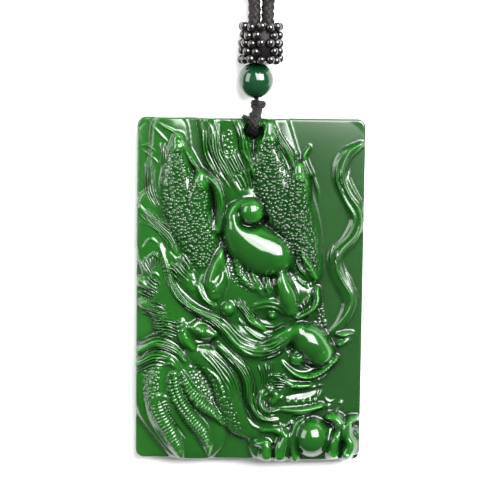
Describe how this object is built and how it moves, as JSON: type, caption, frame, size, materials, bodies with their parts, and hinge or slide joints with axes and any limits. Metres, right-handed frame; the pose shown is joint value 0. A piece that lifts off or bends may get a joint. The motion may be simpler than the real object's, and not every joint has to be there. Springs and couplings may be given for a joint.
{
  "type": "carved stone dragon pendant necklace",
  "caption": "Flat rectangular stone pendant with a dragon's head in high relief, hung by a loop, a round bead and a seed-bead sleeve from a braided neck cord.",
  "frame": {"origin": "middle of the tablet's flat back, on the surface it lies on", "axes": "+Z out of the carved face, +Y along the tablet towards the hanging hole, +X to the right of the carved face"},
  "size_m": [0.042, 0.1282, 0.0088],
  "materials": {
    "green_stone": "polished translucent green stone, high gloss",
    "dark_green_stone": "polished darker bluish green stone, high gloss",
    "black_seed_glass": "glossy black-brown seed beads",
    "brown_cord": "braided dark brown cord"
  },
  "bodies": {
    "root": {"jade_plaque": "green_stone", "hanging_loop": "brown_cord", "lower_knot": "brown_cord", "green_bead": "dark_green_stone", "seed_bead_collar": "black_seed_glass", "neck_strand_left": "brown_cord", "neck_strand_right": "brown_cord", "neck_cord_coil": "brown_cord"}
  },
  "joints": []
}
